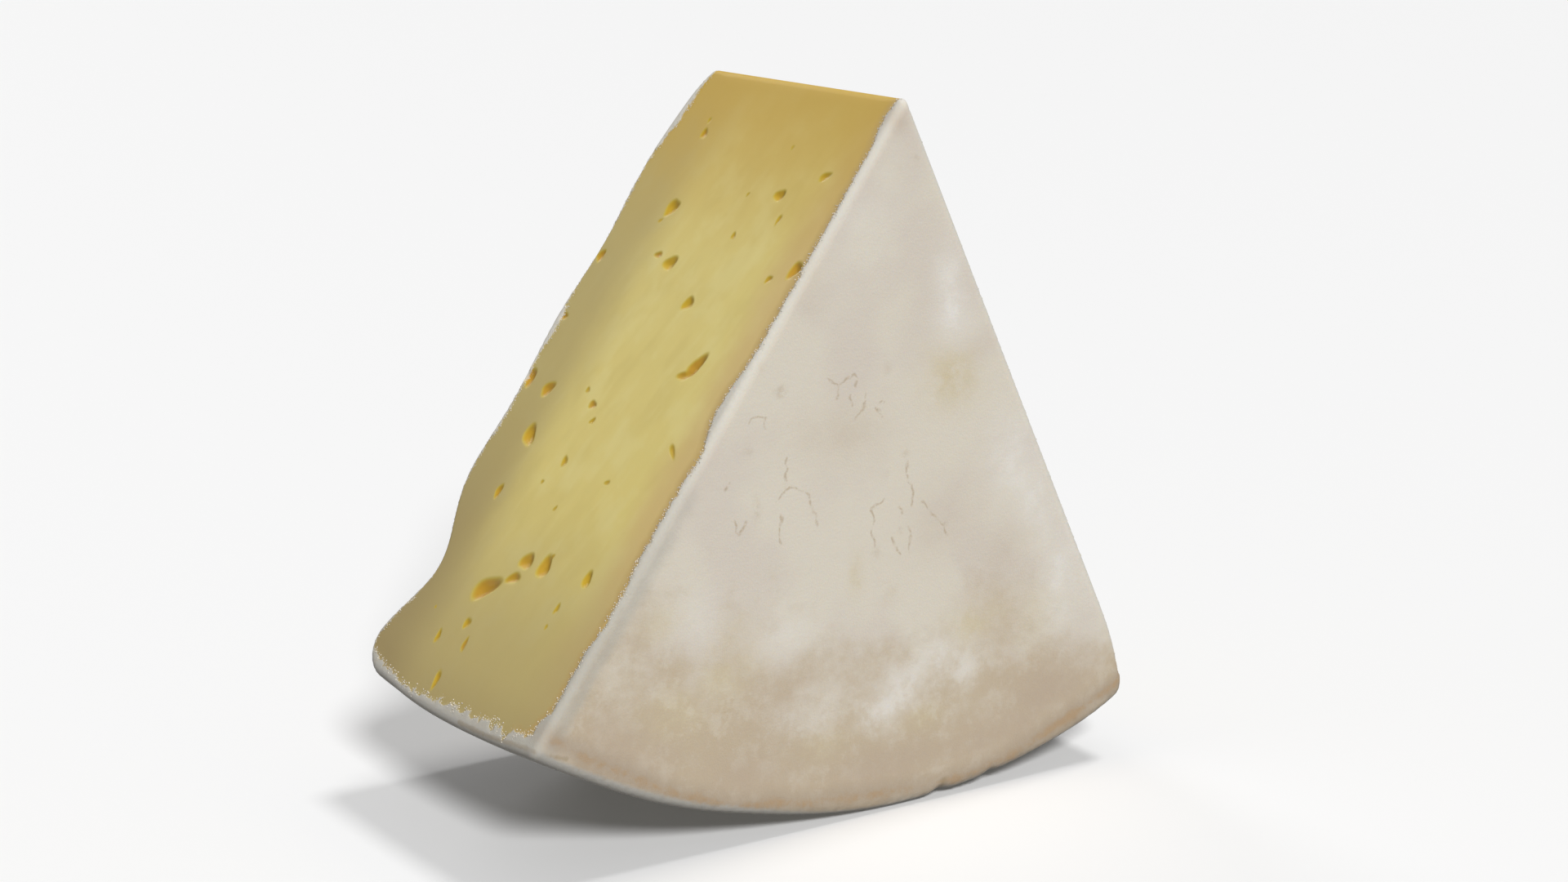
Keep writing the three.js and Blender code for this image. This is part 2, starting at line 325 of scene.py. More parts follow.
def bump(s):
    return np.exp(-s * s)


def smoothstep(value, low, high):
    share = np.clip((value - low) / (high - low), 0, 1)
    return share * share * (3 - 2 * share)


def rounded(a, b, radius):
    """The crossing of two half-spaces with its edge rounded; a and b are distances, positive outside."""
    p = a + radius
    q = b + radius
    inside = np.minimum(np.maximum(p, q), 0)
    return inside + np.hypot(np.maximum(p, 0), np.maximum(q, 0)) - radius


def lumps(points, size, seed):
    """Smooth noise from about -1 to 1, with lumps of the given size, at each point."""
    shift = Vector((seed * 17.3, seed * 5.1, seed * 9.7))
    return np.array([noise.noise(Vector(point) / size + shift) for point in points])


# The plain wedge

def wall_radius(turn, y):
    belly = BELLY * ((y - BELLY_AT) / BELLY_SPAN) ** 2
    flare_fade = 1 - FLARE_FADE * bump((y - FAR_FACE) / FLARE_FADE_SPAN)
    flare = FLARE * bump((turn + CUT_LEFT) / FLARE_TURN) * flare_fade
    sag = SAG * bump((turn - CUT_RIGHT) / SAG_TURN)
    dent = DENT * bump((turn - DENT_AT) / DENT_TURN)
    return WALL_RADIUS - belly + flare - sag - dent


def wheel_place(points):
    """Turn about the wheel's axis and distance beyond its side."""
    below = AXIS_HEIGHT - points[:, 2]
    turn = np.arctan2(points[:, 0], below)
    return turn, np.hypot(points[:, 0], below) - wall_radius(turn, points[:, 1])


def beyond_rind(points):
    """Distance from the wheel's rinded surface, positive outside."""
    wall = wheel_place(points)[1]
    near = rounded(wall, NEAR_FACE - points[:, 1], RIM_NEAR)
    far = rounded(wall, points[:, 1] - FAR_FACE, RIM_FAR)
    return np.maximum(near, far)


def beyond_cuts(points):
    """Distances from the planes of the left and the right cut, positive outside."""
    drop = TIP_HEIGHT - points[:, 2]
    left = -points[:, 0] * math.cos(CUT_LEFT) - drop * math.sin(CUT_LEFT)
    right = points[:, 0] * math.cos(CUT_RIGHT) - drop * math.sin(CUT_RIGHT)
    return left, right


def gap_to_cut(points):
    """Distance from the plane of the nearer cut."""
    return np.minimum(*[np.abs(gap) for gap in beyond_cuts(points)])


def edge_radius(points):
    """How round the cuts' edges are: rounder where the right cut meets the side."""
    turn, wall = wheel_place(points)
    to_corner = np.hypot((turn - CUT_RIGHT) * WALL_RADIUS, wall)
    return CUT_EDGE + CORNER_EDGE * bump(to_corner / CORNER_REACH)


def outside(points):
    """Distance from the plain wedge's surface, positive outside."""
    radius = edge_radius(points)
    sides = np.stack([beyond_rind(points), *beyond_cuts(points)]) + radius
    within = np.minimum(sides.max(axis=0), 0)
    return within + np.linalg.norm(np.maximum(sides, 0), axis=0) - radius


def onto_surface(points):
    """Moves each point along its ray from the heart onto the surface."""
    rays = points - HEART
    near = np.full(len(points), RAY_START)
    far = np.full(len(points), RAY_END)
    for _ in range(HALVINGS):
        middle = (near + far) / 2
        out = outside(HEART + rays * middle[:, None]) > 0
        far = np.where(out, middle, far)
        near = np.where(out, near, middle)
    return HEART + rays * ((near + far) / 2)[:, None]


def far_relief(x, z):
    """How far the far face lies beyond a plain flat one."""
    along = np.hypot(x, TIP_HEIGHT - z)
    from_left = np.arctan2(x, TIP_HEIGHT - z) + CUT_LEFT
    grown = 1 - bump(along / WAVE_START)
    near_cut = bump(from_left / WAVE_TURN)
    wave = WAVE * np.cos(2 * math.pi * (along - WAVE_CREST) / WAVE_LENGTH)
    sweep = 2 * math.pi / LUMP_LENGTH
    lump = LUMP * sum(np.sin(sweep * (aside * x + up * z)) for aside, up in LUMP_RUNS)
    drop = TIP_DROP * np.exp(-along / TIP_DROP_REACH)
    pinch = PINCH * bump((along - PINCH_AT) / PINCH_SPAN) * bump(from_left / PINCH_TURN)
    return (wave * near_cut + lump * (1 - near_cut)) * grown - drop - pinch


def with_far_relief(points):
    pushed = points.copy()
    share = smoothstep(points[:, 1], PUSH_FROM, FAR_FACE)
    pushed[:, 1] += far_relief(points[:, 0], points[:, 2]) * share
    return pushed


# The eyes

def right_eyes():
    """The right cut's eyes, from a small repeatable source of numbers from 0 to 1."""
    state = RIGHT_EYE_SEED
    rows = []

    def draw():
        nonlocal state
        state = state * DRAW_FACTOR % DRAW_RANGE
        return state / DRAW_RANGE

    row_height = (RIGHT_EYE_TO - RIGHT_EYE_FROM) / RIGHT_EYE_ROWS
    column_width = 2 * RIGHT_EYE_REACH / RIGHT_EYE_COLUMNS
    for row in range(RIGHT_EYE_ROWS):
        for column in range(RIGHT_EYE_COLUMNS):
            along = RIGHT_EYE_FROM + (row + draw()) * row_height
            across = -RIGHT_EYE_REACH + (column + draw()) * column_width
            half_long = RIGHT_EYE_SMALLEST + RIGHT_EYE_SPREAD * draw() ** 2
            leanness = RIGHT_EYE_LEANEST + (1 - RIGHT_EYE_LEANEST) * draw()
            turn = RIGHT_EYE_TURN * draw()
            tint = (row * 7 + column * 5) % 10 / 10
            rows.append((along, across, half_long, half_long * leanness, turn, tint))
    return rows


class Cut:
    """One cut face: its plane, its eyes, and places on it as distance from the tip edge and across."""

    def __init__(self, turn, eyes):
        self.eyes = eyes
        self.radial = np.array([math.sin(turn), 0, -math.cos(turn)])
        side = 1 if turn > 0 else -1
        self.square = np.array([side * math.cos(turn), 0, side * math.sin(turn)])

    def place(self, points):
        from_tip = points - np.array([0, 0, TIP_HEIGHT])
        return from_tip @ self.radial, points[:, 1], from_tip @ self.square

    def eye_places(self, points):
        """For each eye: the place in half lengths towards the rim, and in half widths from its middle."""
        along, across, _ = self.place(points)
        for number, (middle, level, half_long, half_wide, degrees, tint) in enumerate(self.eyes):
            turn = math.radians(degrees)
            u = along - middle
            v = across - level
            lengthwise = (u * math.cos(turn) + v * math.sin(turn)) / half_long
            crosswise = (v * math.cos(turn) - u * math.sin(turn)) / half_wide
            around = np.arctan2(crosswise, lengthwise)
            wobble = EYE_WOBBLE_TWO * np.sin(2 * around + number)
            wobble = wobble + EYE_WOBBLE_THREE * np.sin(3 * around + EYE_WOBBLE_SHIFT * number)
            yield lengthwise, np.hypot(lengthwise, crosswise) * (1 + wobble), half_wide, tint


left_cut = Cut(-CUT_LEFT, LEFT_EYES)
right_cut = Cut(CUT_RIGHT, right_eyes())
CUTS = (left_cut, right_cut)


# Marks on the rind

def on_near_face(points):
    return points[:, 1] < NEAR_FACE + RIM_NEAR


def path_distance(places, paths):
    """Distance of each place from the nearest of the paths, in as many dimensions as the paths have."""
    nearest = np.full(len(places), np.inf)
    for path in paths:
        for start, end in zip(path[:-1], path[1:]):
            start = np.array(start)
            run = np.array(end) - start
            share = np.clip((places - start) @ run / (run @ run), 0, 1)
            gap = places - start - share[:, None] * run
            nearest = np.minimum(nearest, np.linalg.norm(gap, axis=1))
    return nearest


def vein_distance(points):
    """Distance in the near face's plane from the nearest vein, whose path wanders a little."""
    places = points[:, [0, 2]]
    wander = np.stack([lumps(points, VEIN_WANDER_SIZE, seed) for seed in (3, 4)], axis=1)
    return path_distance(places + VEIN_WANDER * wander, VEINS)


def fold_paths():
    """The dark fold above each notch, in the near face's plane."""
    paths = []
    for degrees, _, _, height in NOTCHES:
        x = WALL_RADIUS * math.sin(math.radians(degrees))
        z = AXIS_HEIGHT - WALL_RADIUS * math.cos(math.radians(degrees))
        paths.append([(x + aside, z + height * share) for aside, share in FOLD_PATH])
    return paths


def notch_depth(points):
    """How far each point of the near rim is pushed in towards the wheel's axis."""
    turn, wall = wheel_place(points)
    total = np.zeros(len(points))
    for degrees, half_wide, depth, _ in NOTCHES:
        total += depth * bump((turn - math.radians(degrees)) * WALL_RADIUS / half_wide)
    return total * bump((points[:, 1] - NEAR_FACE) / NOTCH_REACH) * smoothstep(wall, -NOTCH_HEIGHT, 0)


def patches(points, rows):
    total = np.zeros(len(points))
    for x, z, half_wide, half_high, strength in rows:
        total += strength * bump(np.hypot((points[:, 0] - x) / half_wide, (points[:, 2] - z) / half_high))
    return total * on_near_face(points)


# The fine mesh

def wedge_corners():
    """The six corners of the sharp sector: tip, left and right, of the near face and then of the far one."""
    corners = []
    for y in (NEAR_FACE, FAR_FACE):
        corners.append((0, y, TIP_HEIGHT))
        for turn in (-CUT_LEFT, CUT_RIGHT):
            corners.append((WALL_RADIUS * math.sin(turn), y, TIP_HEIGHT - WALL_RADIUS * math.cos(turn)))
    return np.array(corners, dtype=float)


SECTOR_FACES = [(0, 1, 2), (3, 5, 4), (0, 3, 4), (0, 4, 1), (0, 2, 5), (0, 5, 3), (1, 4, 5), (1, 5, 2)]


def wanted_edge(points):
    """The longest edge wanted at each place: short at eyes, veins and the rind's edge on the cuts."""
    rind = np.abs(beyond_rind(points))
    to_cut = gap_to_cut(points)
    wanted = np.where(to_cut < CUT_EDGE, PASTE_EDGE, PLAIN_EDGE)
    wall = np.abs(wheel_place(points)[1])
    rim = np.hypot(np.maximum(wall - RIM_FAR, 0), np.maximum(rind, 0))
    wanted = np.minimum(wanted, RIM_EDGE + EDGE_GROWTH * rim)
    strip = np.hypot(to_cut, np.maximum(rind - RIND_STRIP, 0))
    tip = np.hypot(*beyond_cuts(points))
    wanted = np.minimum(wanted, RIND_STRIP_EDGE + EDGE_GROWTH * np.minimum(strip, tip))
    shown = with_far_relief(points)
    for cut in CUTS:
        height = np.abs(cut.place(shown)[2])
        for _, reach, half_wide, _ in cut.eye_places(shown):
            gap = np.hypot(np.maximum(reach - EYE_EDGE_REACH, 0) * half_wide, height)
            wanted = np.minimum(wanted, EYE_EDGE + EDGE_GROWTH * gap)
    behind = np.maximum(points[:, 1] - NEAR_FACE, 0)
    veins = np.hypot(np.maximum(path_distance(points[:, [0, 2]], VEINS) - 2 * VEIN_HALF_WIDTH, 0), behind)
    wanted = np.minimum(wanted, VEIN_EDGE + EDGE_GROWTH * veins)
    folds = np.hypot(path_distance(points[:, [0, 2]], fold_paths()), behind)
    crease = path_distance(points, [CREASE])
    return np.minimum(wanted, NOTCH_EDGE + EDGE_GROWTH * np.minimum(folds, crease))


def refined(points, faces):
    """Halves edges that are longer than wanted, longest first in each face, until none is left."""
    while True:
        sides = np.sort(np.stack([faces, np.roll(faces, -1, axis=1)], axis=2), axis=2)
        keys, index = np.unique(sides[..., 0] * len(points) + sides[..., 1], return_inverse=True)
        index = index.reshape(faces.shape)
        ends = np.stack([keys // len(points), keys % len(points)], axis=1)
        shown = with_far_relief(points)
        length = np.linalg.norm(shown[ends[:, 0]] - shown[ends[:, 1]], axis=1)
        middle = points[ends].mean(axis=1)
        halved = length > wanted_edge(middle)
        if not halved.any():
            return points, faces
        longest = length[index].argmax(axis=1)
        count = 0
        while count < halved.sum():
            count = halved.sum()
            touched = np.nonzero(halved[index].any(axis=1))[0]
            halved[index[touched, longest[touched]]] = True
        new_point = np.full(len(keys), -1)
        new_point[halved] = len(points) + np.arange(count)
        points = np.vstack([points, onto_surface(middle[halved])])
        order = (longest[:, None] + np.arange(3)) % 3
        a, b, c = np.take_along_axis(faces, order, axis=1).T
        m, n, k = np.take_along_axis(new_point[index], order, axis=1).T
        pieces = [
            ((a, b, c), m < 0),
            ((a, m, c), (m >= 0) & (k < 0)),
            ((a, m, k), k >= 0),
            ((k, m, c), k >= 0),
            ((m, b, c), (m >= 0) & (n < 0)),
            ((m, b, n), n >= 0),
            ((m, n, c), n >= 0),
        ]
        faces = np.vstack([np.stack(corners, axis=1)[kept] for corners, kept in pieces])


def vertex_normals(points, faces):
    a, b, c = points[faces].transpose(1, 0, 2)
    across = np.cross(b - a, c - a)
    normals = np.zeros_like(points)
    for corner in range(3):
        np.add.at(normals, faces[:, corner], across)
    return normals / np.linalg.norm(normals, axis=1)[:, None]


def rind_edge(points, shown):
    """How far inside the rind a place on a cut is, in millimetres: negative in the paste."""
    gaps = np.stack([points[:, 1] - NEAR_FACE, FAR_FACE - points[:, 1], -wheel_place(points)[1]])
    pull = np.exp(-gaps / RIND_TURNOVER)
    pull = pull / pull.sum(axis=0)
    along, _, height = left_cut.place(shown)
    on_left = height > -LEFT_CUT_DEPTH
    swelling = [(along, NEAR_SWELLS), (along, FAR_SWELLS), (points[:, 1], SIDE_SWELLS)]
    thick = np.zeros(len(points))
    for share, plain, (place, swells) in zip(pull, RIND_THICK, swelling):
        extra = sum(extra * bump((place - at) / span) for at, extra, span in swells)
        thick += share * (plain + extra * on_left)
    wander = lumps(shown, WANDER_SIZE, 1) * (np.array(RIND_WANDER) @ pull)
    jagged = lumps(shown, TEETH_SIZE, 2) + TEETH_FINE_SHARE * lumps(shown, TEETH_SIZE / TEETH_FINER, 5)
    teeth = (TEETH_PEAK - TEETH_FALL * np.abs(jagged)) * (np.array(RIND_TEETH) @ pull)
    return thick + wander + teeth + beyond_rind(points)


def rind_fields(points, shown, edge, on_cut):
    """What the rind's and the paste's colours read at each point."""
    to_cut = gap_to_cut(points)
    along = np.hypot(shown[:, 0], TIP_HEIGHT - shown[:, 2])
    wall = wheel_place(points)[1]
    from_axis = np.hypot(points[:, 0], AXIS_HEIGHT - points[:, 2])
    in_plane = points[:, [0, 2]]
    behind = np.maximum(points[:, 1] - NEAR_FACE - RIM_NEAR, 0)
    line = np.hypot(path_distance(in_plane, [OCHRE_LINE]), behind)
    fold = np.hypot(path_distance(in_plane, fold_paths()), behind)
    vein = vein_distance(points) + WIDE_FIELD * (1 - on_near_face(points))
    # Painted shade on the rind beside the left cut, towards the bottom.
    cut_shade = smoothstep(to_cut, *SHADE_CUT_BAND) * smoothstep(along, *SHADE_TIP_BAND) * (points[:, 0] < 0)
    wider = SIDE_GROWTH * smoothstep(-points[:, 0], *SIDE_GROWTH_BAND)
    clear = np.minimum(patches(points, CLEAR_PATCHES), 1)
    return {
        "edge": edge + OFF_CUT * (1 - on_cut),
        "along": along,
        "across": shown[:, 1],
        "cut_gap": np.minimum(to_cut, WIDE_FIELD),
        # Painted shade down the left cut reads this field.
        "cut_shade": cut_shade,
        # Painted shade on the side's rind reads this field.
        "side": np.clip(SIDE_REACH + wall + wider, 0, SIDE_REACH),
        "vein": np.minimum(vein, SLIM_FIELD),
        "line": np.minimum(line, WIDE_FIELD),
        "crease": np.minimum(path_distance(points, [CREASE]), SLIM_FIELD),
        "fold": np.minimum(fold, SLIM_FIELD),
        "spot": patches(points, SPOTS),
        "white": patches(points, WHITE_PATCHES),
        "pink": patches(points, PINK_PATCHES),
        "olive": patches(points, OLIVE_PATCHES),
        "tan": smoothstep(from_axis, *TAN_BAND) * smoothstep(wall, *TAN_WALL_BAND) * (1 - clear),
    }


def with_notches(points, placed):
    """Pushes the near rim in towards the wheel's axis at its notches."""
    inward = np.stack([-points[:, 0], np.zeros(len(points)), AXIS_HEIGHT - points[:, 2]], axis=1)
    from_axis = np.hypot(points[:, 0], AXIS_HEIGHT - points[:, 2])
    return placed + inward * (notch_depth(points) / from_axis)[:, None]


def with_eyes_sunk(shown, placed):
    """Sinks the eyes into the cuts, and gives what their colours read at each point."""
    eye, tint_there, lit = np.zeros((3, len(shown)))
    for cut in CUTS:
        near_plane = smoothstep(np.abs(cut.place(shown)[2]), *EYE_PLANE_BAND)
        for lengthwise, reach, half_wide, tint in cut.eye_places(shown):
            full = min(half_wide / EYE_FULL, 1)
            bowl = np.maximum(1 - reach ** 2, 0) ** EYE_WALL * near_plane
            depth = bowl * full * EYE_DEPTH * half_wide * (1 - EYE_SLANT * lengthwise)
            placed = placed - cut.square * depth[:, None]
            rim = smoothstep(reach, *EYE_RIM_BAND) * near_plane
            rim = rim * (EYE_FAINTEST + (1 - EYE_FAINTEST) * full)
            stronger = rim > eye
            eye = np.where(stronger, rim, eye)
            tint_there = np.where(stronger, tint, tint_there)
            # eye_lit is low on the eye's side towards the tip edge, which gets painted shade.
            lit = np.where(stronger, 0.5 + 0.5 * lengthwise, lit)
    return placed, {"eye": eye, "eye_tint": tint_there, "eye_lit": lit}


def wedge_surface():
    """The finished surface: points, faces and what the materials read at each point."""
    points, faces = refined(onto_surface(wedge_corners()), np.array(SECTOR_FACES))
    shown = with_far_relief(points)
    on_cut = smoothstep(gap_to_cut(points), *ON_CUT_BAND)
    edge = rind_edge(points, shown)
    rise = RIND_STEP * smoothstep(edge, *RIND_STEP_BAND) * on_cut - RIND_STEP * on_cut * 0.5
    placed = shown + vertex_normals(shown, faces) * rise[:, None]
    placed, eye_fields = with_eyes_sunk(shown, with_notches(points, placed))
    placed[:, 2] = np.maximum(placed[:, 2], 0)
    return placed, faces, rind_fields(points, shown, edge, on_cut) | eye_fields


def into_frame(points, low, high):
    """Millimetres of the wheel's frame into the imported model's frame, in metres."""
    middle = (points.min(axis=0) + points.max(axis=0)) / 2
    target = np.array((low + high) / 2)
    return points * MM + np.array([target[0] - middle[0] * MM, target[1] - middle[1] * MM, low.z])


def mesh_object(name, points, faces, fields=None):
    mesh = bpy.data.meshes.new(name)
    mesh.from_pydata(points.tolist(), [], faces.tolist())
    for field, values in (fields or {}).items():
        attribute = mesh.attributes.new(field, "FLOAT", "POINT")
        attribute.data.foreach_set("value", np.asarray(values, dtype=np.float32))
    mesh.shade_smooth()
    piece = bpy.data.objects.new(name, mesh)
    bpy.context.scene.collection.objects.link(piece)
    return piece


# Materials

def srgb(red, green, blue):
    """A colour given in screen values from 0 to 255, as linear light."""
    def linear(value):
        value /= 255
        return value / 12.92 if value <= 0.04045 else ((value + 0.055) / 1.055) ** 2.4
    return (linear(red), linear(green), linear(blue), 1)


class Term:
    """A number that changes over the surface; sums and products of terms add Math nodes."""

    def __init__(self, tree, socket):
        self.tree = tree
        self.socket = socket

    def __add__(self, other):
        return self.tree.math("ADD", self, other)

    def __sub__(self, other):
        return self.tree.math("SUBTRACT", self, other)

    def __rsub__(self, other):
        return self.tree.math("SUBTRACT", other, self)

    def __mul__(self, other):
        return self.tree.math("MULTIPLY", self, other)

    __radd__ = __add__
    __rmul__ = __mul__


class NodeTree:
    """A tree of nodes; one method adds any of them."""

    def __init__(self, tree):
        self.nodes = tree.nodes
        self.links = tree.links

    def set(self, node, sockets):
        for name, value in sockets.items():
            socket = node.inputs[name]
            if isinstance(value, Term):
                value = value.socket
            if isinstance(value, bpy.types.NodeSocket):
                self.links.new(value, socket)
            else:
                socket.default_value = value

    def add(self, kind, settings, sockets):
        node = self.nodes.new(kind)
        for name, value in settings.items():
            setattr(node, name, value)
        self.set(node, sockets)
        return node


class Shading(NodeTree):
    """A material's node tree."""

    def __init__(self, name):
        self.material = bpy.data.materials.new(name)
        self.material.use_nodes = True
        super().__init__(self.material.node_tree)
        self.surface = self.nodes["Principled BSDF"]

    def math(self, operation, first, second):
        node = self.add("ShaderNodeMath", {"operation": operation}, {0: first, 1: second})
        return Term(self, node.outputs[0])

    def attribute(self, name):
        node = self.add("ShaderNodeAttribute", {"attribute_name": name}, {})
        return Term(self, node.outputs["Fac"])

    def place(self):
        """The place in millimetres, which keeps to the piece."""
        coordinates = self.add("ShaderNodeTexCoord", {}, {})
        sockets = {0: coordinates.outputs["Object"], "Scale": 1 / MM}
        return self.add("ShaderNodeVectorMath", {"operation": "SCALE"}, sockets).outputs[0]

    def vector(self, x, y, z):
        return self.add("ShaderNodeCombineXYZ", {}, {"X": x, "Y": y, "Z": z}).outputs[0]

    def noise(self, vector, size, detail=2, roughness=0.5):
        node = self.add(
            "ShaderNodeTexNoise",
            {"noise_dimensions": "3D"},
            {"Vector": vector, "Scale": 1 / size, "Detail": detail, "Roughness": roughness},
        )
        return Term(self, node.outputs["Fac"])

    def smooth(self, value, low, high):
        node = self.add(
            "ShaderNodeMapRange",
            {"interpolation_type": "SMOOTHSTEP"},
            {"Value": value, "From Min": low, "From Max": high},
        )
        return Term(self, node.outputs["Result"])

    def mix(self, share, first, second):
        node = self.add(
            "ShaderNodeMix",
            {"data_type": "RGBA", "clamp_factor": True},
            {"Factor": share, "A": first, "B": second},
        )
        return node.outputs["Result"]

    def laid(self, colour, over, value, band, share=1):
        """The colour with another laid over it, as strong as its share once the value is past the band."""
        return self.mix(self.smooth(value, *band) * share, colour, over)


# Paste colours.
PASTE_YELLOW = srgb(232, 213, 130)
PASTE_CREAM = srgb(237, 222, 147)
PASTE_OLIVE = srgb(224, 204, 122)
PASTE_TAN = srgb(219, 189, 126)
PASTE_OCHRE = srgb(208, 172, 70)
PASTE_SHADE_LINE = srgb(196, 164, 100)
# Painted shade along the paste's edge beside the near face.
PASTE_FAR = srgb(183, 164, 106)
# The paste's low colours: tan and darker towards the bottom of the cut, partly its own colour and partly
# painted shade.
PASTE_LOW = srgb(190, 171, 114)
PASTE_DARK = srgb(170, 150, 101)
EYE_RIM = srgb(206, 182, 66)
EYE_YELLOW = srgb(202, 164, 26)
EYE_ORANGE = srgb(194, 142, 30)
# Painted shade for each eye's side towards the tip edge.
EYE_PAINTED_SHADE = srgb(160, 130, 38)

# Rind colours.
RIND_CREAM = srgb(228, 220, 204)
RIND_WHITE = srgb(239, 234, 225)
# The rind's strip on the cuts: a little greyer than the rest, partly its own colour and partly painted shade
# over the rounded edge; the low colour serves as painted shade down the left cut.
RIND_EDGE_HIGH = srgb(217, 213, 202)
RIND_EDGE_LOW = srgb(190, 186, 175)
RIND_GREY = srgb(218, 207, 195)
RIND_PINK = srgb(198, 180, 158)
RIND_RIM = srgb(181, 164, 143)
RIND_OLIVE = srgb(214, 199, 164)
RIND_TAN = srgb(204, 187, 160)
# Painted shade for the rind of the curved side.
RIND_SIDE_SHADE = srgb(192, 188, 179)
RIND_OCHRE = srgb(187, 155, 116)
FOLD_SHADE = srgb(156, 138, 108)
# Painted shade for the folds above the notches and for the crease.
VEIN_BROWN = srgb(192, 174, 148)

# The streaks of the paste lean this far from the radial direction towards the far face. Their noise
# is stretched: its scale per millimetre lengthwise and crosswise, and the layer of noise it reads.
STREAK_TURN = math.radians(16)
BROAD_STREAKS = (0.08, 0.16, 0)
FINE_STREAKS = (0.12, 0.38, 5)

# Bands of the paste's colours, in millimetres across from the middle or along from the tip edge.
FAR_BAND = (10, 23)
NEAR_BAND = (-11, -18.5)
LOW_BAND = (68, 102)
OCHRE_BAND = (40, 4)
DARK_ACROSS, DARK_ALONG, DARK_END = (10, 24), (50, 86), (94, 102)
# The painted shade line beside the near face: where it lies across, and its band from the rind's edge.
SHADE_LINE_ACROSS, SHADE_LINE_EDGE = (-15, -21), (-1.9, -0.1)

# Bands of the rind's colours, in millimetres from a cut, the ochre line, the side's turn, a fold or
# a crease.
CUT_STRIP = (1.35, 0.6)
RIM_STRIP = (4, 1)
OCHRE_STRIP = (3.4, 2.2)
SIDE_SHADE_STRIP = (1.9, 2.6)
FOLD_STRIP = (1.7, 0.5)
CREASE_STRIP = (0.75, 0.35)

# Sizes of the cheese's fine noise, in millimetres: its grain, its mould and the rag of its rind's edge.
GRAIN_SIZE, MOULD_SIZE, RAG_SIZE = 0.35, 1.6, 0.7
RELIEF_DEPTH, RELIEF_STRENGTH = 0.1 * MM, 0.55


def paste_colour(tree, place):
    along = tree.attribute("along")
    across = tree.attribute("across")
    lengthwise = along * math.cos(STREAK_TURN) + across * math.sin(STREAK_TURN)
    crosswise = across * math.cos(STREAK_TURN) - along * math.sin(STREAK_TURN)

    def streaked(stretch, detail):
        by_length, by_width, layer = stretch
        return tree.noise(tree.vector(lengthwise * by_length, crosswise * by_width, layer), 1, detail)

    broad = streaked(BROAD_STREAKS, detail=2)
    streaks = streaked(FINE_STREAKS, detail=3)
    clouds = tree.noise(place, size=8, detail=3)
    colour = tree.laid(PASTE_YELLOW, PASTE_OLIVE, broad, (0.46, 0.66), 0.55)
    colour = tree.laid(colour, PASTE_CREAM, clouds, (0.48, 0.66), 0.5)
    colour = tree.laid(colour, PASTE_CREAM, streaks, (0.5, 0.72), 0.35)
    colour = tree.laid(colour, PASTE_OLIVE, streaks, (0.48, 0.3), 0.25)
    colour = tree.laid(colour, PASTE_FAR, across + clouds * 5, FAR_BAND, 0.75)
    colour = tree.laid(colour, PASTE_TAN, across + clouds * 6, NEAR_BAND, 0.8)
    # Towards the bottom of the cut the paste turns tan and darker, partly its own colour and partly painted
    # shade; it is darker too low down towards the far face.
    colour = tree.laid(colour, PASTE_LOW, along + clouds * 8, LOW_BAND, 0.85)
    far_and_low = tree.smooth(across, *DARK_ACROSS) * tree.smooth(along, *DARK_ALONG)
    darker = far_and_low + tree.smooth(along, *DARK_END) * 0.6
    colour = tree.mix(darker * 0.8, colour, PASTE_DARK)
    colour = tree.laid(colour, PASTE_OCHRE, along + clouds * 12, OCHRE_BAND, 0.95)
    # A line of painted shade along the paste's edge beside the near face.
    beside_near = tree.smooth(across, *SHADE_LINE_ACROSS)
    return tree.laid(colour, PASTE_SHADE_LINE, tree.attribute("edge"), SHADE_LINE_EDGE, beside_near * 0.75)


def with_eyes(tree, colour):
    eye = tree.attribute("eye")
    inside = tree.mix(tree.attribute("eye_tint"), EYE_YELLOW, EYE_ORANGE)
    # Painted shade on each eye's side towards the tip edge, where eye_lit is low.
    inside = tree.laid(inside, EYE_PAINTED_SHADE, tree.attribute("eye_lit"), (0.4, 0.05), 0.5)
    inside = tree.laid(EYE_RIM, inside, eye, (0.3, 0.85))
    return tree.laid(colour, inside, eye, (0.05, 0.6), 0.9)


def rind_bloom(tree, place, cloud, drift, fibre):
    """The rind's soft clouds: grey, tan, olive, and the white bloom over them."""
    broad = tree.noise(place, size=15)
    age = tree.attribute("tan")
    colour = tree.laid(RIND_CREAM, RIND_GREY, broad, (0.42, 0.62), 0.55)
    colour = tree.laid(colour, RIND_TAN, age + cloud * 1.5, (1.0, 1.75))
    olive = tree.attribute("olive") * (0.4 + tree.smooth(drift, 0.4, 0.6) * 0.6)
    colour = tree.mix(olive, colour, RIND_OLIVE)
    colour = tree.laid(colour, RIND_CREAM, drift + fibre * 0.3, (0.62, 0.78), age * 0.42)
    white = tree.attribute("white") * (0.55 + tree.smooth(drift + fibre * 0.3, 0.55, 0.78) * 0.45)
    return tree.mix(white, colour, RIND_WHITE)


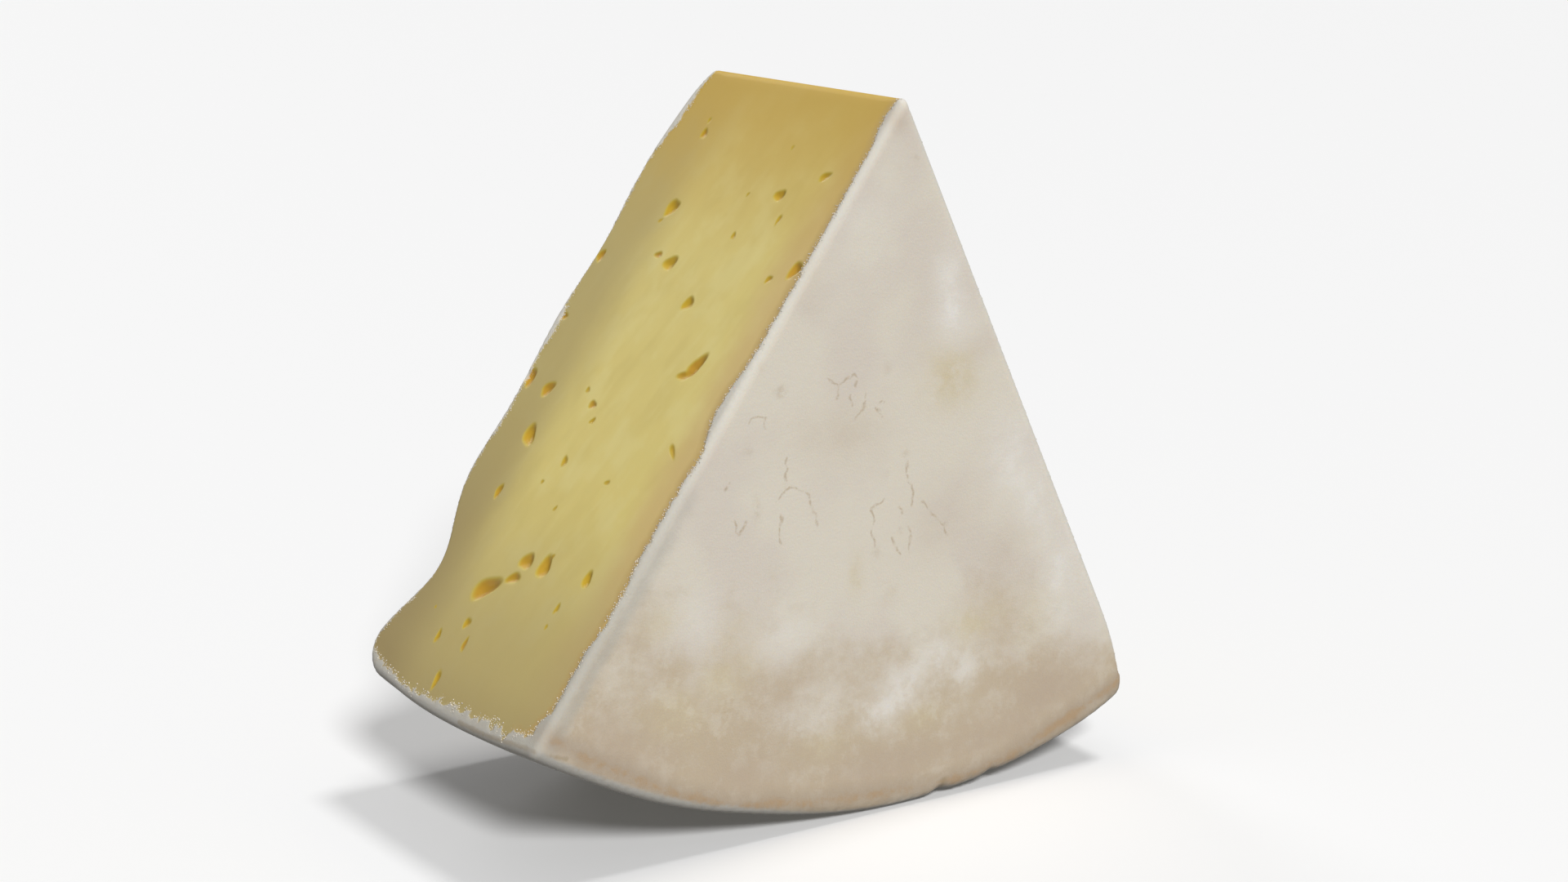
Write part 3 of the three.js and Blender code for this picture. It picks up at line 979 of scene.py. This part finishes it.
def rind_borders(tree, colour, cloud, drift, fibre):
    """The rind's colour beside the cuts, at the rim and on the side; the greys down the left cut and on the
    side are painted shade.
    """
    cut_shade_field = tree.attribute("cut_shade")
    cut_shade = tree.smooth(cut_shade_field + cloud, 0.6, 1.3)
    # Painted shade on the rind beside the left cut, towards the bottom.
    colour = tree.mix(cut_shade * 0.6, colour, RIND_EDGE_LOW)
    # The strip on the cuts: partly greyer rind, partly painted shade over the rounded edge.
    edge_colour = tree.mix(cut_shade_field, RIND_EDGE_HIGH, RIND_EDGE_LOW)
    colour = tree.laid(colour, edge_colour, tree.attribute("cut_gap") + fibre * 0.5, CUT_STRIP, 0.85)
    pink = tree.attribute("pink") * (1 - cut_shade) * (0.65 + tree.smooth(cloud, 0.42, 0.6) * 0.3)
    colour = tree.mix(pink, colour, RIND_PINK)
    line = tree.attribute("line")
    colour = tree.laid(colour, RIND_RIM, line + drift * 2, RIM_STRIP, 0.8)
    # Painted shade greys the rind of the side and the rind beside it.
    colour = tree.laid(colour, RIND_SIDE_SHADE, tree.attribute("side") + fibre * 0.4, SIDE_SHADE_STRIP)
    return tree.laid(colour, RIND_OCHRE, line + drift * 4 + fibre, OCHRE_STRIP, 0.65)


def rind_marks(tree, colour, fibre):
    """The rind's fine veins and spots, and painted shade in its folds and its crease."""
    folds = tree.smooth(tree.attribute("fold") + fibre, *FOLD_STRIP)
    creases = tree.smooth(tree.attribute("crease") + fibre * 0.5, *CREASE_STRIP)
    # Painted shade along the folds and the crease.
    colour = tree.mix(folds * 0.5 + creases * 0.45, colour, FOLD_SHADE)
    veins = tree.smooth(tree.attribute("vein"), 2 * VEIN_HALF_WIDTH, 0) * tree.smooth(fibre, 0.36, 0.6)
    spots = tree.attribute("spot") * tree.smooth(fibre, 0.34, 0.6)
    return tree.mix(veins * 0.8 + spots * 0.75, colour, VEIN_BROWN)


def rind_colour(tree, place):
    cloud = tree.noise(place, size=7, detail=8, roughness=0.64)
    drift = tree.noise(place, size=4.2, detail=8, roughness=0.68)
    fibre = tree.noise(place, size=0.9, detail=6, roughness=0.7)
    colour = rind_bloom(tree, place, cloud, drift, fibre)
    colour = rind_borders(tree, colour, cloud, drift, fibre)
    return rind_marks(tree, colour, fibre)


def cheese_material():
    tree = Shading("cheese")
    place = tree.place()
    grain = tree.noise(place, GRAIN_SIZE, detail=3, roughness=0.6)
    mould = tree.noise(place, MOULD_SIZE, detail=4, roughness=0.6)
    rag = tree.noise(place, RAG_SIZE, detail=4, roughness=0.7)
    rind = tree.smooth(tree.attribute("edge") + rag * 1.2, 0.42, 0.84)
    eye = tree.attribute("eye")
    paste = with_eyes(tree, paste_colour(tree, place))
    colour = tree.mix(rind, paste, rind_colour(tree, place))
    height = rind * (0.6 + grain * 0.5 + mould * 0.7) + grain * 0.15
    sockets = {"Height": height, "Distance": RELIEF_DEPTH, "Strength": RELIEF_STRENGTH}
    relief = tree.add("ShaderNodeBump", {}, sockets)
    tree.set(tree.surface, {
        "Base Color": colour,
        "Roughness": 0.5 + rind * 0.35 - eye * 0.1,
        "Normal": relief.outputs[0],
        "Specular IOR Level": 0.4,
        "Subsurface Weight": 0.15,
        "Subsurface Radius": (1, 0.7, 0.4),
        "Subsurface Scale": 2 * MM,
    })
    return tree.material


def crumb_material():
    tree = Shading("rind crumbs")
    shade = tree.noise(tree.place(), size=0.8)
    tree.set(tree.surface, {
        "Base Color": tree.laid(RIND_EDGE_LOW, RIND_CREAM, shade, (0.35, 0.65)),
        "Roughness": 0.8 + shade * 0.1,
    })
    return tree.material


def plain_material(name, colour, roughness):
    tree = Shading(name)
    tree.set(tree.surface, {"Base Color": colour, "Roughness": roughness})
    return tree.material


# The crumbs

CRUMB_INPUTS = {
    "Density": ("NodeSocketFloat", CRUMB_DENSITY),
    "Middle": ("NodeSocketFloat", CRUMB_MIDDLE),
    "Strip": ("NodeSocketFloat", CRUMB_STRIP),
    "Smallest": ("NodeSocketFloat", CRUMB_SMALLEST),
    "Largest": ("NodeSocketFloat", CRUMB_LARGEST),
    "Seed": ("NodeSocketInt", CRUMB_SEED),
}


def crumb_nodes(material):
    """Scatters crumbs where the surface's edge field is near the strip's middle."""
    group = bpy.data.node_groups.new("rind crumbs", "GeometryNodeTree")
    group.interface.new_socket("Surface", in_out="INPUT", socket_type="NodeSocketGeometry")
    for name, (kind, _) in CRUMB_INPUTS.items():
        group.interface.new_socket(name, in_out="INPUT", socket_type=kind)
    group.interface.new_socket("Crumbs", in_out="OUTPUT", socket_type="NodeSocketGeometry")
    tree = NodeTree(group)
    given = tree.add("NodeGroupInput", {}, {}).outputs
    edge = tree.add("GeometryNodeInputNamedAttribute", {"data_type": "FLOAT"}, {"Name": "edge"})
    on_edge = tree.add(
        "FunctionNodeCompare",
        {"data_type": "FLOAT", "operation": "EQUAL"},
        {"A": edge.outputs[0], "B": given["Middle"], "Epsilon": given["Strip"]},
    )
    places = tree.add("GeometryNodeDistributePointsOnFaces", {"distribute_method": "RANDOM"}, {
        "Mesh": given["Surface"],
        "Selection": on_edge.outputs["Result"],
        "Density": given["Density"],
        "Seed": given["Seed"],
    })
    crumb = tree.add("GeometryNodeMeshIcoSphere", {}, {"Radius": 1, "Subdivisions": 1})
    size = tree.add(
        "FunctionNodeRandomValue",
        {"data_type": "FLOAT"},
        {2: given["Smallest"], 3: given["Largest"], "Seed": given["Seed"]},
    )
    spread = tree.add("GeometryNodeInstanceOnPoints", {}, {
        "Points": places.outputs["Points"],
        "Instance": crumb.outputs["Mesh"],
        "Rotation": places.outputs["Rotation"],
        "Scale": size.outputs[1],
    })
    real = tree.add("GeometryNodeRealizeInstances", {}, {"Geometry": spread.outputs["Instances"]})
    finished = tree.add(
        "GeometryNodeSetMaterial", {}, {"Geometry": real.outputs["Geometry"], "Material": material}
    )
    tree.add("NodeGroupOutput", {}, {"Crumbs": finished.outputs["Geometry"]})
    return group


def add_crumbs(surface):
    """The crumbs on the given surface, as a plain mesh."""
    crumbs = bpy.data.objects.new("crumbs", surface.copy())
    bpy.context.scene.collection.objects.link(crumbs)
    modifier = crumbs.modifiers.new("crumbs", "NODES")
    modifier.node_group = crumb_nodes(crumb_material())
    for socket in modifier.node_group.interface.items_tree:
        if socket.name in CRUMB_INPUTS:
            modifier[socket.identifier] = CRUMB_INPUTS[socket.name][1]
    evaluated = crumbs.evaluated_get(bpy.context.evaluated_depsgraph_get())
    scattered = bpy.data.meshes.new_from_object(evaluated)
    crumbs.modifiers.remove(modifier)
    crumbs.data = scattered
    scattered.shade_smooth()
    return crumbs


# The stage

# The floor, in metres: half its width, how far it lies below the cheese, its colour and its roughness.
FLOOR_HALF = 12
FLOOR_DROP = 0.0002
FLOOR_WHITE, FLOOR_ROUGHNESS = srgb(246, 246, 246), 0.8
# The camera: its place in metres, the direction it looks away from, and its lens in millimetres.
CAMERA_AT = Vector((-0.22312, -0.33972, 0.14361))
CAMERA_BACK = Vector((-0.54503, -0.80753, 0.22546))
LENS, SENSOR = 66.4, 36
CLIP_START = 0.01
# Each light: where it shines from, how wide it is in radians, and its strength.
LIGHTS = {
    "front": (Vector((-0.42, -1.3, 1)), 0.25, 2.55),
    "right": (Vector((0.4, 0, 1)), 0.25, 1.0),
    "back": (Vector((0.1, 2.2, 1)), 0.4, 0.4),
}
WORLD_WHITE, WORLD_STRENGTH = (1, 1, 1, 1), 0.2


def add_floor():
    around = [(-1, -1), (1, -1), (1, 1), (-1, 1)]
    corners = np.array([(x * FLOOR_HALF, y * FLOOR_HALF, -FLOOR_DROP) for x, y in around])
    floor = mesh_object("floor", corners, np.array([(0, 1, 2, 3)]))
    floor.data.materials.append(plain_material("floor", FLOOR_WHITE, FLOOR_ROUGHNESS))
    floor.visible_diffuse = False


def add_camera():
    data = bpy.data.cameras.new("camera")
    data.lens = LENS
    data.sensor_width = SENSOR
    data.clip_start = CLIP_START
    camera = bpy.data.objects.new("camera", data)
    camera.location = CAMERA_AT
    camera.rotation_euler = CAMERA_BACK.to_track_quat("Z", "Y").to_euler()
    bpy.context.scene.collection.objects.link(camera)
    bpy.context.scene.camera = camera


def add_lights():
    for name, (shines_from, angle, strength) in LIGHTS.items():
        data = bpy.data.lights.new(name, "SUN")
        data.angle = angle
        data.energy = strength
        light = bpy.data.objects.new(name, data)
        light.location = shines_from
        light.rotation_euler = shines_from.to_track_quat("Z", "Y").to_euler()
        bpy.context.scene.collection.objects.link(light)
    world = bpy.data.worlds.new("studio")
    world.use_nodes = True
    background = world.node_tree.nodes["Background"]
    background.inputs["Color"].default_value = WORLD_WHITE
    background.inputs["Strength"].default_value = WORLD_STRENGTH
    bpy.context.scene.world = world
    bpy.context.scene.view_settings.view_transform = "Standard"


add_camera()
add_lights()
add_floor()

low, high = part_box("cheese_wedge")
points, faces, fields = wedge_surface()
wedge = mesh_object("wedge", into_frame(points, low, high), faces, fields)
wedge.data.materials.append(cheese_material())
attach(wedge, "root")
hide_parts("cheese_wedge")

crumbs = add_crumbs(wedge.data)
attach(crumbs, "root")
